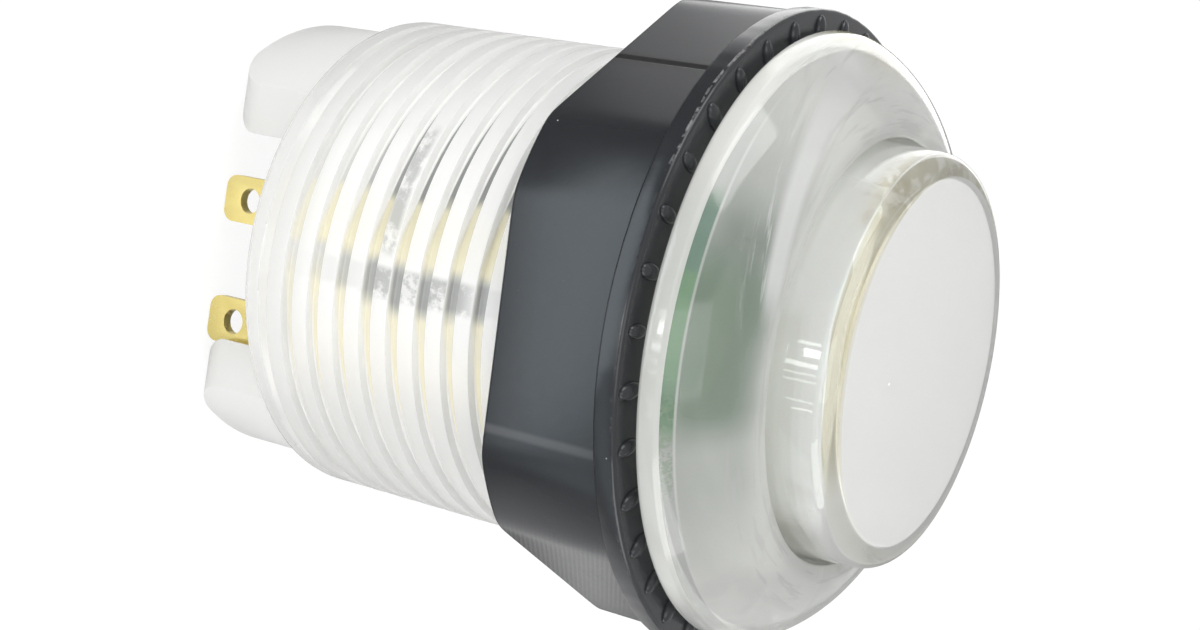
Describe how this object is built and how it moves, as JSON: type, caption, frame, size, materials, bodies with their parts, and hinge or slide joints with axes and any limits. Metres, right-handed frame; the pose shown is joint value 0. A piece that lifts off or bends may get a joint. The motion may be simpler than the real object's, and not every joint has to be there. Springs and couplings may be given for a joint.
{
  "type": "arcade push button",
  "caption": "Clear round push button with a domed bezel, threaded body, black hexagonal lock nut, sprung lit plunger and brass terminals between two rear ears.",
  "frame": {"origin": "centre of the bezel's underside, in the plane of the panel", "axes": "+Z along the button's axis towards the finger; the lamp terminals are on the -X side and the two ears at +Y and -Y"},
  "size_m": [0.035, 0.035, 0.041],
  "materials": {
    "clear_body": "clear moulded, polished",
    "clear_cap": "clear moulded, polished",
    "white_disc": "opal white",
    "milky_plunger": "natural milky",
    "black_nut": "satin black",
    "frosted_carrier": "frosted translucent",
    "spring_steel": "drawn wire",
    "green_board": "green lacquer",
    "lamp_package": "white with clear lens",
    "resistor_body": "black ceramic",
    "brass": "bright rolled",
    "switch_body": "black moulded",
    "switch_pin": "red moulded",
    "contact_silver": "silver rivet"
  },
  "bodies": {
    "housing": {"housing": "clear_body", "rear_carrier": "frosted_carrier", "circuit_board": "green_board", "led_left": "lamp_package", "led_right": "lamp_package", "resistor_left": "resistor_body", "resistor_right": "resistor_body", "led_terminal_positive": "brass", "led_terminal_negative": "brass", "switch_terminal_common": "brass", "switch_terminal_contact": "brass", "switch_case": "switch_body", "switch_cover": "switch_body", "fixed_contact": "contact_silver", "return_spring": "spring_steel"},
    "plunger": {"cap": "clear_cap", "diffuser": "white_disc", "plunger": "milky_plunger"},
    "switch_actuator": {"switch_actuator": "switch_pin"},
    "contact_leaf": {"contact_leaf": "brass", "moving_contact": "contact_silver"},
    "lock_nut": {"lock_nut": "black_nut"}
  },
  "joints": [
    {"name": "plunger_press", "type": "slide", "parent": "housing", "child": "plunger", "axis": [0, 0, -1], "range_m": [0, 0.003], "stiffness_N_per_m": 300, "springref_m": -0.003, "deforming": ["return_spring"]},
    {"name": "actuator_press", "type": "slide", "parent": "housing", "child": "switch_actuator", "axis": [0, 0, -1], "range_m": [0, 0.0006]},
    {"name": "leaf_bend", "type": "hinge", "parent": "housing", "child": "contact_leaf", "pos_m": [0.0052, 0, -0.0147], "axis": [0, -1, 0], "range_deg": [0, 6.63]},
    {"name": "nut_travel", "type": "slide", "parent": "housing", "child": "lock_nut", "axis": [0, 0, -1], "range_m": [0, 0.0175]}
  ],
  "couplings": [
    {"joint": "actuator_press", "follows": "plunger_press", "ratio": 0.2},
    {"joint": "leaf_bend", "follows": "plunger_press", "rad_per_m": 38.547}
  ]
}
